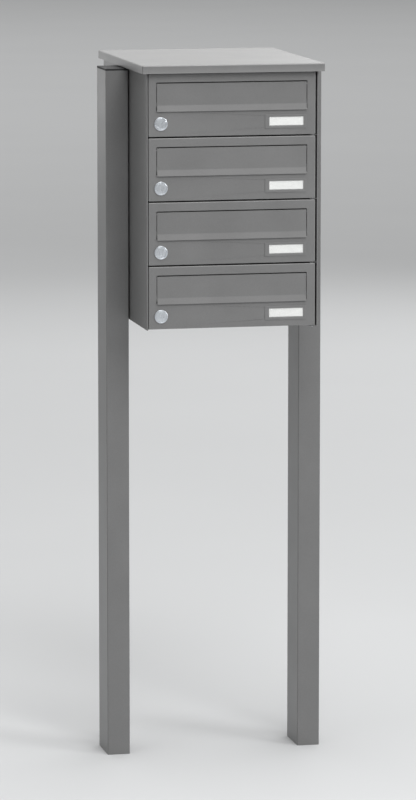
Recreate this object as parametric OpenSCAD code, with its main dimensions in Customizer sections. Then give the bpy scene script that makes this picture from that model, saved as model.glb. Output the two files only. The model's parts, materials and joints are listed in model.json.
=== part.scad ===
// Free-standing cluster mailbox: four stacked letter compartments with a rain lid,
// carried between two posts. Millimetres, +Z up, front towards -Y.
// The origin is on the ground, at the middle of the footprint of the whole unit.

/* [Housing] */
// Outer width of the housing
box_w = 300; // [260:5:360]
// Height of one compartment, measured from shelf to shelf
bay_h = 110; // [105:1:160]
// Depth of the housing from the door faces to the back
box_d = 385; // [300:5:420]
// Height of the housing's floor above the ground
box_z = 775; // [400:5:1200]
// Sheet thickness of the side panels
side_t = 2; // [1.5:0.5:3]
// Sheet thickness of shelves, floor, top and back
sheet_t = 1.2; // [1:0.1:1.5]

/* [Lid] */
// How far the lid stands proud of the doors
lid_front = 10; // [6:1:25]
// How far the lid stands proud of each side
lid_side = 9.5; // [5:0.5:12]
// Height of the lid's top face above the housing
lid_rise = 13.5; // [12:0.5:20]
// Height of the lid's down-turned lips
lid_lip = 14.3; // [12.5:0.1:14.3]
// Sheet thickness of the lid
lid_t = 1.5; // [1:0.5:2]

/* [Posts] */
// Width of a post, across the front
post_w = 40; // [35:1:60]
// Depth of a post, front to back
post_d = 80; // [70:1:120]
// Height of a post without its cap
post_h = 1209; // [1150:1:1210]
// Wall thickness of a post
post_t = 2.5; // [2:0.5:4]
// Distance from the door faces back to the front of the posts
post_back = 150; // [100:5:200]
// Gap between the housing and a post
post_gap = 2; // [2:1:6]

/* [Doors] */
// Gap between two doors, one above the other
door_gap = 2.5; // [2:0.1:4]
// Gap between the doors and the left side panel
lock_side_gap = 1.2; // [1:0.1:2]
// Gap between the doors and the right side panel
hinge_side_gap = 2.8; // [2.8:0.1:3.5]
// Depth of the edges turned back around a door
door_edge = 12; // [9:1:13]

/* [Letter flap] */
// Width of the flap
flap_w = 261.6; // [230:0.1:262]
// Height of the flap over its bent lip
flap_h = 48; // [44:1:52]
// Height of the lip that is bent outward for the fingers
flap_lip = 11; // [8:1:14]
// How far the lip's lower edge stands out
flap_kick = 3; // [2:0.5:4]
// Width of the letter slot
slot_w = 234; // [200:1:240]
// Height of the letter slot
slot_h = 33; // [25:1:35]

/* [Lock and name holder] */
// Radius of the lock's front ring
lock_r = 11.6; // [10.5:0.1:13]
// Length of the latch, from the lock's axis to its tip
latch_l = 22; // [18:1:23]
// Width of the name holder
holder_w = 72.5; // [66:0.5:80]
// Height of the name holder
holder_h = 24; // [22:0.5:28]
// Width of the name window
window_w = 60.4; // [50:0.1:62]
// Height of the name window
window_h = 15.8; // [12:0.1:17]

/* [Hidden] */
bays = 4;
$fn = 48;

// Overall places
half_w = box_w / 2;
inner_x = half_w - side_t;
lid_back = lid_t + 0.5;
front_y = -(lid_front + box_d + lid_back) / 2 + lid_front;
back_y = front_y + box_d;
box_top = box_z + bays * bay_h;
lid_z = box_top + lid_rise;
function bay_top(i) = box_top - (i - 1) * bay_h;

// Door outline
door_l = -inner_x + lock_side_gap;
door_r = inner_x - hinge_side_gap;
door_t = 1.2;
hinge_x = door_r - 4.2;
hinge_y = front_y + 5;
rod_r = 2;
run = 0.05;              // radial clearance of everything that turns
knuckle_r = 3.7;
knuckle_l = 14;

// Letter flap: heights are measured down from the line between two doors
flap_x = -1.45;          // middle of the flap
flap_down = 18.2;
flap_t = 1.2;
flap_in = 0.2;           // the flap lies this far behind the door face
aperture_top = 16.3;
aperture_bottom = flap_down + flap_h - 1.6;
aperture_w = flap_w + 2;
pan_in = 10;             // depth of the pan behind the flap
pin_r = 1.25;
pin_in = 3.9;
pin_down = flap_down + 3.5;
curl_r = 2.7;
slot_down = 29;
coil_r = 1.9;
wire_r = 0.3;
coil_turns = 6;
coil_x = flap_x - 62;
coil_l = coil_turns * wire_r * 2.5;

// Lock
lock_x = -125.5;
lock_down = 86.9;
barrel_r = 9.4;
plug_r = 7;
plug_head_r = 9.35;
barrel_end = 16;
latch_in = barrel_end + 1;
latch_t = 2;
latch_w = 12;

// Name holder
holder_x = 92.5;
window_x = 93.7;
holder_down = 85.8;

// Keeper strip that the latch turns behind, and the sheets' turned edges
keeper_in = 14;
keeper_w = 12;
shelf_in = 16;
turn_h = 12;

// Fasteners
bolt_r = 4;
bolt_pitch = 36;
nut_flange_r = 6.5;
nut_r = 5.45;
ring_r = 12;
screw_r = 2.4;
screw_x = 100;
rail_w = 20;
rail_l = 260;
rail_y = [front_y + 60, back_y - 60];
rivet_r = 1.6;
rivet_x = inner_x - 7;
cap_t = 3.4;

PAINT = "#7d7e80";
STEEL = "#b4b6b8";
ZINC = "#9a9b98";
BLACK = "#1c1c1c";

bay_names = ["door", "flap", "flap_pin", "flap_spring", "lock_body", "lock_plug",
             "lock_latch", "lock_nut", "name_holder", "name_card"];

// A box between two opposite corners
module slab(low, high) { translate(low) cube(high - low); }

// Round bars along each axis, from a start point
module bar_x(at, r, l) { translate(at) rotate([0, 90, 0]) cylinder(r = r, h = l); }
module bar_y(at, r, l) { translate(at) rotate([-90, 0, 0]) cylinder(r = r, h = l); }
module bar_z(at, r, l) { translate(at) cylinder(r = r, h = l); }

// An outline in Y and Z, pulled along X from x0 to x1
module strip_x(x0, x1, points) {
    translate([x0, 0, 0])
        rotate([90, 0, 90])
            linear_extrude(x1 - x0)
                polygon(points);
}

// A wire swept along points, as one closed mesh
function unit(v) = v / norm(v);
function along(p, i) = unit(p[min(i + 1, len(p) - 1)] - p[max(i - 1, 0)]);
function across(t) = unit(cross(t, abs(t[0]) < 0.8 ? [1, 0, 0] : [0, 1, 0]));
module wire(path, r, sides) {
    ring = [for (i = [0 : len(path) - 1])
        let (t = along(path, i), u = across(t), v = cross(t, u))
        for (k = [0 : sides - 1])
            path[i] + r * (cos(360 * k / sides) * u + sin(360 * k / sides) * v)];
    last = (len(path) - 1) * sides;
    polyhedron(ring, concat(
        [[for (k = [0 : sides - 1]) k]],
        [[for (k = [sides - 1 : -1 : 0]) last + k]],
        [for (i = [0 : len(path) - 2]) for (k = [0 : sides - 1])
            [i * sides + k, (i + 1) * sides + k,
             (i + 1) * sides + (k + 1) % sides, i * sides + (k + 1) % sides]]),
        convexity = 6);
}

// ---- Housing ----

// The bolts through a side panel into its post; side is -1 on the left and 1 on the right
function bolt_places() = [
    for (z = [bay_top(1) - bay_h / 2, bay_top(bays) - bay_h / 2])
        for (dy = [-bolt_pitch / 2, bolt_pitch / 2])
            [front_y + post_back + post_d / 2 + dy, z]];

// A round bar across the wall of one side, between two distances from the middle
module side_bar(side, place, r, x0, x1) {
    bar_x([side > 0 ? x0 : -x1, place[0], place[1]], r, x1 - x0);
}

// The rivets along the back, one beside each compartment, as heights
function rivet_heights() = [for (i = [1 : bays]) bay_top(i) - bay_h / 2];

// A side panel: a flat sheet with a strip turned in at the back
module side_panel(side) {
    difference() {
        union() {
            slab([side > 0 ? inner_x : -half_w, front_y, box_z - sheet_t / 2],
                 [side > 0 ? half_w : -inner_x, back_y, box_top + sheet_t / 2]);
            slab([side > 0 ? inner_x - 14 : -inner_x, back_y - sheet_t - 1.5, box_z - sheet_t / 2],
                 [side > 0 ? inner_x : -inner_x + 14, back_y - sheet_t, box_top + sheet_t / 2]);
        }
        for (place = bolt_places()) side_bar(side, place, bolt_r + 0.3, inner_x - 1, half_w + 1);
        for (z = rivet_heights()) bar_y([side * rivet_x, back_y - 5, z], rivet_r + run, 10);
    }
}

module left_side_panel() {
    color(PAINT) {
        side_panel(-1);
        slab([-inner_x, front_y + keeper_in, box_z - sheet_t / 2],
             [-inner_x + keeper_w, front_y + keeper_in + sheet_t, box_top + sheet_t / 2]);
    }
}

module right_side_panel() { color(PAINT) side_panel(1); }

module back_panel() {
    color(PAINT)
        difference() {
            slab([-inner_x, back_y - sheet_t, box_z - sheet_t / 2],
                 [inner_x, back_y, box_top + sheet_t / 2]);
            for (side = [-1, 1]) for (z = rivet_heights())
                bar_y([side * rivet_x, back_y - 5, z], rivet_r + run, 10);
        }
}

// A level sheet with an ear for the hinge rod and both side edges turned; turn is 1 up, -1 down
module level_sheet(z, turn) {
    rear = back_y - sheet_t - 1.5;
    edge_z = turn > 0 ? z - sheet_t / 2 : z + sheet_t / 2 - turn_h;
    difference() {
        union() {
            slab([-inner_x, front_y + shelf_in, z - sheet_t / 2], [inner_x, rear, z + sheet_t / 2]);
            slab([hinge_x - 5, front_y + 2, z - sheet_t / 2],
                 [inner_x, front_y + shelf_in + 1, z + sheet_t / 2]);
            for (side = [-1, 1])
                slab([side > 0 ? inner_x - sheet_t : -inner_x, front_y + shelf_in, edge_z],
                     [side > 0 ? inner_x : -inner_x + sheet_t, rear, edge_z + turn_h]);
        }
        bar_z([hinge_x, hinge_y, z - 5], rod_r + run, 10);
    }
}

module shelf(i) { color(PAINT) level_sheet(bay_top(i + 1), -1); }
module floor_panel() { color(PAINT) level_sheet(box_z, 1); }

module top_panel() {
    color(PAINT)
        difference() {
            level_sheet(box_top, -1);
            for (x = [-screw_x, screw_x]) for (y = rail_y)
                bar_z([x, y, box_top - 5], screw_r + 0.2, 10);
        }
}

// One rod carries all the doors; its head rests on the top panel
module hinge_rod() {
    color(STEEL) {
        bar_z([hinge_x, hinge_y, box_z - 2], rod_r, bays * bay_h + 4);
        bar_z([hinge_x, hinge_y, box_top + sheet_t / 2], 4, 2);
    }
}

module back_rivets() {
    color(STEEL)
        for (side = [-1, 1]) for (z = rivet_heights()) {
            bar_y([side * rivet_x, back_y - sheet_t - 3, z], rivet_r, sheet_t + 3.2);
            translate([side * rivet_x, back_y, z])
                rotate([-90, 0, 0]) cylinder(r1 = 3.4, r2 = 1.9, h = 1.1);
        }
}

// ---- Lid ----

module lid() {
    color(PAINT)
        difference() {
            slab([-half_w - lid_side, front_y - lid_front, lid_z - lid_lip],
                 [half_w + lid_side, back_y + lid_back, lid_z]);
            slab([-half_w - lid_side + lid_t, front_y - lid_front + lid_t, lid_z - lid_lip - 1],
                 [half_w + lid_side - lid_t, back_y + lid_back - lid_t, lid_z - lid_t]);
        }
}

// Channels welded under the lid, which hold it clear of the top panel
module lid_rails() {
    foot = box_top + sheet_t / 2;
    color(ZINC)
        for (y = rail_y)
            difference() {
                slab([-rail_l / 2, y - rail_w / 2, foot], [rail_l / 2, y + rail_w / 2, lid_z - lid_t]);
                slab([-rail_l / 2 - 1, y - rail_w / 2 + 1.5, foot + 1.5],
                     [rail_l / 2 + 1, y + rail_w / 2 - 1.5, lid_z]);
                for (x = [-screw_x, screw_x]) bar_z([x, y, foot - 1], screw_r + run, 4);
            }
}

module lid_screws() {
    color(STEEL)
        for (x = [-screw_x, screw_x]) for (y = rail_y) {
            bar_z([x, y, box_top - sheet_t / 2 - 1], screw_r, 8);
            difference() {
                bar_z([x, y, box_top - sheet_t / 2 - 2.5], 4.5, 2.5);
                translate([x, y, box_top - sheet_t / 2 - 3]) cylinder(r = 1.6, h = 1.8, $fn = 6);
            }
        }
}

// ---- Posts ----

post_y = front_y + post_back;
post_x0 = half_w + post_gap;
post_x1 = post_x0 + post_w;

// A rectangle with rounded corners, drawn with two bars and four discs
module round_rect(w, d, r) {
    square([w - 2 * r, d], center = true);
    square([w, d - 2 * r], center = true);
    for (x = [-1, 1]) for (y = [-1, 1]) translate([x * (w / 2 - r), y * (d / 2 - r)]) circle(r);
}

module post(side) {
    color(PAINT)
        difference() {
            translate([side * (post_x0 + post_w / 2), post_y + post_d / 2, 0])
                linear_extrude(post_h)
                    difference() {
                        round_rect(post_w, post_d, 1.5);
                        square([post_w - 2 * post_t, post_d - 2 * post_t], center = true);
                    }
            for (place = bolt_places()) side_bar(side, place, nut_r + 0.1, post_x0 - 1, post_x0 + 5);
        }
}

module left_post() { post(-1); }
module right_post() { post(1); }

// A push-in plug: a flat head, and a skirt that grips the inside of the tube
module post_cap(side) {
    plug_w = post_w - 2 * post_t - 0.4;
    plug_d = post_d - 2 * post_t - 0.4;
    color(BLACK)
        translate([side * (post_x0 + post_w / 2), post_y + post_d / 2, post_h]) {
            linear_extrude(cap_t) round_rect(post_w, post_d, 1.5);
            translate([0, 0, -16])
                linear_extrude(16.5)
                    difference() {
                        square([plug_w, plug_d], center = true);
                        square([plug_w - 4, plug_d - 4], center = true);
                    }
        }
}

module left_post_cap() { post_cap(-1); }
module right_post_cap() { post_cap(1); }

module post_bolts() {
    color(STEEL)
        for (side = [-1, 1]) for (place = bolt_places())
            translate([side * inner_x, place[0], place[1]]) rotate([0, side * 90, 0]) post_bolt();
}

// One bolt along +Z, with the underside of its low head at the origin
module post_bolt() {
    head_r = 7;
    head_h = 4;
    difference() {
        union() {
            translate([0, 0, -1]) cylinder(r = bolt_r, h = side_t + post_gap + 15);
            translate([0, 0, -2]) cylinder(r = head_r, h = 2);
            translate([0, 0, -head_h]) cylinder(r1 = head_r - 2.2, r2 = head_r, h = 2);
        }
        translate([0, 0, -head_h - 1]) cylinder(r = 2.9, h = 3, $fn = 6);
    }
}

// Rings that hold the posts clear of the side panels
module spacer_rings() {
    color(ZINC)
        for (side = [-1, 1]) for (place = bolt_places())
            difference() {
                side_bar(side, place, ring_r, half_w, post_x0);
                side_bar(side, place, nut_flange_r + 0.5, half_w - 1, post_x0 + 1);
            }
}

// Threaded inserts set in the wall of each post
module rivet_nuts() {
    color(ZINC)
        for (side = [-1, 1]) for (place = bolt_places())
            difference() {
                union() {
                    side_bar(side, place, nut_r, post_x0 - 0.5, post_x0 + 16);
                    side_bar(side, place, nut_flange_r, post_x0 - 1, post_x0);
                }
                side_bar(side, place, bolt_r + run, post_x0 - 2, post_x0 + 17);
            }
}

// ---- Doors: everything below is drawn for compartment i, counted from the top ----

// A box given in millimetres behind the door face and below the line above the door
module door_slab(i, x0, x1, in0, in1, down0, down1) {
    slab([x0, front_y + in0, bay_top(i) - down1], [x1, front_y + in1, bay_top(i) - down0]);
}

module door_shell(i) {
    top = door_gap / 2;
    bottom = bay_h - door_gap / 2;
    pan_l = flap_x - aperture_w / 2;
    pan_r = flap_x + aperture_w / 2;
    // face and turned edges; the level edges stop short of the hinge
    door_slab(i, door_l, door_r, 0, door_t, top, bottom);
    door_slab(i, door_l, door_l + door_t, 0, door_edge, top, bottom);
    door_slab(i, door_r - door_t, door_r, 0, door_edge, top, bottom);
    door_slab(i, door_l, hinge_x - 6, 0, door_edge, top, top + door_t);
    door_slab(i, door_l, hinge_x - 6, 0, door_edge, bottom - door_t, bottom);
    // pan around the flap
    door_slab(i, pan_l - door_t, pan_r + door_t, 0, pan_in + door_t,
              aperture_top - door_t, aperture_bottom + door_t);
    // hinge knuckles
    for (z = [bay_top(i) - 10 - knuckle_l, bay_top(i) - bay_h + 10]) {
        bar_z([hinge_x, hinge_y, z], knuckle_r, knuckle_l);
        slab([hinge_x, front_y, z], [door_r, hinge_y + 1, z + knuckle_l]);
    }
}

module door(i) {
    pan_l = flap_x - aperture_w / 2;
    pan_r = flap_x + aperture_w / 2;
    pin_z = bay_top(i) - pin_down;
    color(PAINT) {
        difference() {
            door_shell(i);
            // room for the flap, and the letter slot in the floor of the pan
            door_slab(i, pan_l, pan_r, -1, pan_in, aperture_top, aperture_bottom);
            door_slab(i, flap_x - slot_w / 2, flap_x + slot_w / 2, pan_in - 1, pan_in + door_t + 1,
                      slot_down, slot_down + slot_h);
            bar_x([pan_l - 5, front_y + pin_in, pin_z], pin_r + run, aperture_w + 10);
            bar_y([lock_x, front_y - 1, bay_top(i) - lock_down], barrel_r + 0.1, 5);
            // window for the name holder
            door_slab(i, holder_x - holder_w / 2 + 2, holder_x + holder_w / 2 - 2, -1, 3,
                      holder_down - holder_h / 2 + 2, holder_down + holder_h / 2 - 2);
            bar_z([hinge_x, hinge_y, bay_top(i) - bay_h], rod_r + run, bay_h);
        }
        // stops that the closed flap rests on
        for (x = [pan_l, pan_r - 5])
            door_slab(i, x, x + 5, flap_in + flap_t + 0.3, flap_in + flap_t + 1.5,
                      aperture_bottom - 14, aperture_bottom - 7);
    }
}

// The flap: a flat sheet whose lower edge is bent outward, with three curls around its pin
module flap(i) {
    x0 = flap_x - flap_w / 2;
    x1 = flap_x + flap_w / 2;
    y0 = front_y + flap_in;
    y1 = y0 + flap_t;
    z_top = bay_top(i) - flap_down;
    z_bend = z_top - flap_h + flap_lip;
    z_low = z_top - flap_h;
    curl = 34;
    color(PAINT)
        difference() {
            union() {
                strip_x(x0, x1, [[y0, z_top], [y1, z_top], [y1, z_bend],
                                 [y1 - flap_kick, z_low], [y0 - flap_kick, z_low], [y0, z_bend]]);
                for (x = [x0 + 4, flap_x - curl / 2, x1 - 4 - curl])
                    bar_x([x, front_y + pin_in, bay_top(i) - pin_down], curl_r, curl);
            }
            bar_x([x0 - 1, front_y + pin_in, bay_top(i) - pin_down], pin_r + run, flap_w + 2);
        }
}

module flap_pin(i) {
    reach = aperture_w + 2 * door_t + 1.6;
    color(STEEL)
        bar_x([flap_x - reach / 2, front_y + pin_in, bay_top(i) - pin_down], pin_r, reach);
}

// A torsion spring: one leg lies behind the flap and the other on the floor of the pan
module flap_spring(i) {
    axis_y = front_y + pin_in;
    axis_z = bay_top(i) - pin_down;
    half_turns = 2 * coil_turns + 1;
    turns = [for (a = [0 : 36 : 180 * half_turns])
        [coil_x + coil_l * a / (360 * coil_turns), axis_y - coil_r * cos(a), axis_z + coil_r * sin(a)]];
    end_x = coil_x + coil_l * half_turns / (2 * coil_turns);
    leg_flap = [[coil_x, axis_y - coil_r, axis_z - 11], [coil_x, axis_y - coil_r, axis_z - 3]];
    leg_door = [[end_x, axis_y + coil_r + 0.3, axis_z - 2.5],
                [end_x, front_y + pan_in - wire_r - 0.1, axis_z - 6.5]];
    color(STEEL) wire(concat(leg_flap, turns, leg_door), wire_r, 6);
}

// ---- Lock ----

module lock_body(i) {
    at = [lock_x, front_y, bay_top(i) - lock_down];
    color(STEEL)
        difference() {
            union() {
                bar_y(at - [0, 1.8, 0], lock_r, 1.8);
                bar_y(at - [0, 0.5, 0], barrel_r, barrel_end + 0.5);
            }
            bar_y(at - [0, 3, 0], plug_head_r + 0.1, 2.2);
            bar_y(at - [0, 1, 0], plug_r + run, barrel_end + 2);
        }
}

// The plug that the key turns; its square tail is riveted over behind the latch
module lock_plug(i) {
    at = [lock_x, front_y, bay_top(i) - lock_down];
    tail_end = latch_in + latch_t;
    color(STEEL)
        difference() {
            union() {
                bar_y(at - [0, 1.7, 0], plug_head_r, 0.85);
                bar_y(at - [0, 1.2, 0], plug_r, barrel_end + 1.9);
                slab(at + [-3.5, barrel_end, -3.5], at + [3.5, tail_end + 0.2, 3.5]);
                bar_y(at + [0, tail_end + 0.05, 0], 4.9, 1.2);
            }
            slab(at + [-0.7, -3, -4.2], at + [0.7, 9, 4.2]);
            bar_y(at - [0, 3, 0], 1.5, 6);
        }
}

// The latch stands up when the lock is open and turns to the left behind the keeper strip
module lock_latch(i) {
    at = [lock_x, front_y + latch_in, bay_top(i) - lock_down];
    color(ZINC)
        difference() {
            union() {
                slab(at + [-latch_w / 2, 0, 0], at + [latch_w / 2, latch_t, latch_l - 3]);
                slab(at + [-latch_w / 2 + 3, 0, 0], at + [latch_w / 2 - 3, latch_t, latch_l]);
                for (x = [-1, 1]) bar_y(at + [x * (latch_w / 2 - 3), 0, latch_l - 3], 3, latch_t);
                bar_y(at, 7.5, latch_t);
            }
            slab(at + [-3.55, -1, -3.55], at + [3.55, latch_t + 1, 3.55]);
        }
}

module lock_nut(i) {
    at = [lock_x, front_y + door_t, bay_top(i) - lock_down];
    color(ZINC)
        difference() {
            translate(at) rotate([-90, 0, 0]) cylinder(r = 13.2, h = 4, $fn = 6);
            bar_y(at - [0, 1, 0], barrel_r + run, 6);
        }
}

// ---- Name holder and card ----

// A frame with a pocket behind its window, which the card slides into
module name_holder(i) {
    x0 = holder_x - holder_w / 2;
    x1 = holder_x + holder_w / 2;
    w0 = window_x - window_w / 2;
    w1 = window_x + window_w / 2;
    top = holder_down - holder_h / 2;
    bottom = holder_down + holder_h / 2;
    color(PAINT)
        difference() {
            union() {
                door_slab(i, x0, x1, -0.9, 0, top, bottom);
                door_slab(i, x0 + 2.3, x1 - 2.3, -0.2, 3.4, top + 2.3, bottom - 2.3);
            }
            door_slab(i, w0, w1, -2, 0.5, holder_down - window_h / 2, holder_down + window_h / 2);
            door_slab(i, w0 - 1.2, w1 + 1.2, 0.2, 0.9,
                      holder_down - window_h / 2 - 1.2, holder_down + window_h / 2 + 1.2);
        }
}

module name_card(i) {
    color("white")
        door_slab(i, window_x - window_w / 2 - 1, window_x + window_w / 2 + 1, 0.3, 0.7,
                  holder_down - window_h / 2 - 1, holder_down + window_h / 2 + 1);
}

left_side_panel();
right_side_panel();
back_panel();
floor_panel();
top_panel();
shelf(1);  // shelf_1
shelf(2);  // shelf_2
shelf(3);  // shelf_3
lid();
lid_rails();
lid_screws();
left_post();
right_post();
left_post_cap();
right_post_cap();
post_bolts();
spacer_rings();
rivet_nuts();
hinge_rod();
back_rivets();
for (i = [1 : bays]) {
    door(i);
    flap(i);
    flap_pin(i);
    flap_spring(i);
    lock_body(i);
    lock_plug(i);
    lock_latch(i);
    lock_nut(i);
    name_holder(i);
    name_card(i);
}
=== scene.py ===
# %% [markdown]
# # A cluster mailbox on two posts
#
# The real object is sheet metal and tube: four letter compartments, one above the other, each with
# its own door, letter flap, cam lock and name holder, under a rain lid and between two posts.
#
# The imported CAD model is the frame. It says where every piece is and which body it moves with. This
# lesson keeps each place and size and makes what the eye sees: folded edges, turned and moulded
# parts, and the finish of every metal and plastic.

# %% Load the frame
import json
import math

import bmesh
import bpy
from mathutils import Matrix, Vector
from mathutils.geometry import delaunay_2d_cdt

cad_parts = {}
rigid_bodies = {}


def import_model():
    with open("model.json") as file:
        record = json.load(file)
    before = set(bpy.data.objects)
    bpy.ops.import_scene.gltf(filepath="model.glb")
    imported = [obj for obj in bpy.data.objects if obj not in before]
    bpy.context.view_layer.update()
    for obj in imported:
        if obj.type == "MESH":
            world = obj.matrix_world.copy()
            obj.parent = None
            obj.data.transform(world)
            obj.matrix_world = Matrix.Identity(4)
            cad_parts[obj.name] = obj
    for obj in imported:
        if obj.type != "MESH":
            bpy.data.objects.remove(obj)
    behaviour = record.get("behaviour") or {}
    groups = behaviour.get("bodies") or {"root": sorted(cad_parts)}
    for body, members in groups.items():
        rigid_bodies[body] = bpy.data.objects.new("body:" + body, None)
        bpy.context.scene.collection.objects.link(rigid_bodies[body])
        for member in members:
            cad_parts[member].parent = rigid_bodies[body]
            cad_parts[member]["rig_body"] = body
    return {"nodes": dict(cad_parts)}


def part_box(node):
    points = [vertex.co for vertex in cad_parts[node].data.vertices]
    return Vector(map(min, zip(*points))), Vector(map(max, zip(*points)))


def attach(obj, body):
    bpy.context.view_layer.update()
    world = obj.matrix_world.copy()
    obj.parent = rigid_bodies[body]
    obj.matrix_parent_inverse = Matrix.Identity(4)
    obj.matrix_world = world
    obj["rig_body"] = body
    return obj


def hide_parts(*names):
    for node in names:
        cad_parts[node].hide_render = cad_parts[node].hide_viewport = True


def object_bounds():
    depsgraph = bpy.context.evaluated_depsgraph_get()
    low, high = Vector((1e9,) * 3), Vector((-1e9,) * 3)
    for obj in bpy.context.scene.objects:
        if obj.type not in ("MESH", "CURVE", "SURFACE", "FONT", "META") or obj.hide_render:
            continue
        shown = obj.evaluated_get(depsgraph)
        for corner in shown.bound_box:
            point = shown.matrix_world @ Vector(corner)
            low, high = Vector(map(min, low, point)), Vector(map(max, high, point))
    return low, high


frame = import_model()
cad_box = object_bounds()
MM = 0.001
BAYS = range(1, 5)

# %% [markdown]
# ## The camera
#
# A product like this is shown with a long lens from far away, a little from the left and from
# above, so that its uprights stay nearly upright. A short lens close by would make the same picture
# size, but the posts would lean together. The aim comes from two turns, so no shift is needed.

# %% Camera
CAMERA_PLACE = (-1.6256, -7.4843, 1.7663)
CAMERA_TURN = 12.236     # degrees to the right of straight ahead
CAMERA_DIP = 8.494       # degrees below the horizon
camera_data = bpy.data.cameras.new("long_lens")
camera_data.lens = 197.5
camera_data.sensor_width = 36
camera_data.clip_end = 200
camera = bpy.data.objects.new("camera", camera_data)
camera.location = CAMERA_PLACE
camera.rotation_euler = (math.radians(90 - CAMERA_DIP), 0, math.radians(-CAMERA_TURN))
bpy.context.collection.objects.link(camera)
bpy.context.scene.camera = camera
bpy.context.scene.view_settings.view_transform = "Standard"
print("camera", round(camera.location.length, 2), "m from the origin")

# %% [markdown]
# ## Two small helpers for materials
#
# Colours are easiest to choose as sRGB hex codes, but shaders add light in linear numbers, so one
# function converts them. A second one adds a node with its settings and links, which keeps each
# material short enough to read as a recipe.


# %% Colour and node helpers
def linear(code):
    """An sRGB hex colour as linear RGBA."""
    shares = [int(code[k:k + 2], 16) / 255 for k in (1, 3, 5)]
    return [s / 12.92 if s <= 0.04045 else ((s + 0.055) / 1.055) ** 2.4 for s in shares] + [1.0]


def add(tree, kind, settings=None, inputs=None):
    """Adds one node. An input is a value, a node's socket, or a node, for its first output."""
    node = tree.nodes.new(kind)
    for name, value in (settings or {}).items():
        setattr(node, name, value)
    for name, value in (inputs or {}).items():
        if isinstance(value, bpy.types.Node):
            value = value.outputs[0]
        if isinstance(value, bpy.types.NodeSocket):
            tree.links.new(value, node.inputs[name])
        else:
            node.inputs[name].default_value = value
    return node


print("white is", linear("#ffffff")[:3])


# %% [markdown]
# Every material starts and ends alike: the piece's own coordinates at one end, one Principled
# shader at the other, with its colour, gloss and relief. The patterns between them are written out
# node by node. Four short functions word what nodes are told again and again: how large a pattern
# is, which range it is stretched over, which two colours it blends, and how deep a relief is.

# %% How a material starts and ends
COLOUR = {"data_type": "RGBA"}
PLUS = {"operation": "ADD"}
TIMES = {"operation": "MULTIPLY"}
TIMES_PLUS = {"operation": "MULTIPLY_ADD"}
BLENDED = 2              # a colour Mix has its result at this output


def sized(place, size_mm, detail=2.0, rough=0.5):
    """What a noise is told, for blotches about size_mm across."""
    return {"Vector": place, "Scale": 1 / (size_mm * MM), "Detail": detail, "Roughness": rough}


def over(value, low, high):
    """What a Map Range is told, to stretch the middle of a noise over low..high."""
    return {"Value": value, "From Min": 0.3, "From Max": 0.7, "To Min": low, "To Max": high}


def between(share, *colours):
    """What a colour Mix is told: a share, and two colours as hex codes or sockets."""
    first, second = (linear(c) if isinstance(c, str) else c for c in colours)
    return {"Factor": share, 6: first, 7: second}


def relief(height, depth_mm):
    """What a Bump is told, for a relief of a real depth."""
    return {"Height": height, "Distance": depth_mm * MM, "Strength": 1.0}


def start_material(name):
    """An empty node material and the piece's own coordinates."""
    made = bpy.data.materials.new(name)
    made.use_nodes = True
    made.node_tree.nodes.clear()
    place = add(made.node_tree, "ShaderNodeTexCoord").outputs["Object"]
    return made, made.node_tree, place


def close_material(tree, colour, gloss, height, rest):
    """Ends a material in one Principled shader."""
    shader = add(tree, "ShaderNodeBsdfPrincipled", inputs={
        "Base Color": colour, "Roughness": add(tree, "ShaderNodeMapRange", inputs=gloss),
        "Normal": add(tree, "ShaderNodeBump", inputs=height), **rest})
    add(tree, "ShaderNodeOutputMaterial", inputs={"Surface": shader})


print("a 2 mm pattern has scale", sized(None, 2.0)["Scale"])

# %% [markdown]
# ## Powder coat
#
# Almost all of the outside is sheet steel under fine-texture polyester powder coat. The powder is
# sprayed on dry and baked, so it melts into a satin skin with a sandy grain over a slow waviness
# called orange peel. Along each fold the colour is painted lighter: partly thinner powder, partly a
# painted highlight like the one a bend catches.
#
# One image could never hold that grain over a metre of post, so it is made from noise: a coarse
# wave and a fine grain for the relief, the grain and a broad cloud for the tone, and the cloud for
# the gloss. The painted fold highlight comes from a per-point attribute, which the modelling steps
# below write.

# %% Powder coat material
GRAIN_MM = 1.5           # the real grain is 0.3 to 0.5 mm; drawn this coarse so that it shows
PEEL_MM = 9.0
CLOUD_MM = 70.0
GRAIN_DEPTH = 0.035
PEEL_DEPTH = 0.05
GRAIN_TONE = 0.55        # how far each pattern goes from the base tone to the light one
CLOUD_TONE = 0.45
FOLD_HIGHLIGHT = 0.30         # how far a fold goes towards its lighter colour: a painted highlight, partly thin powder


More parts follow.
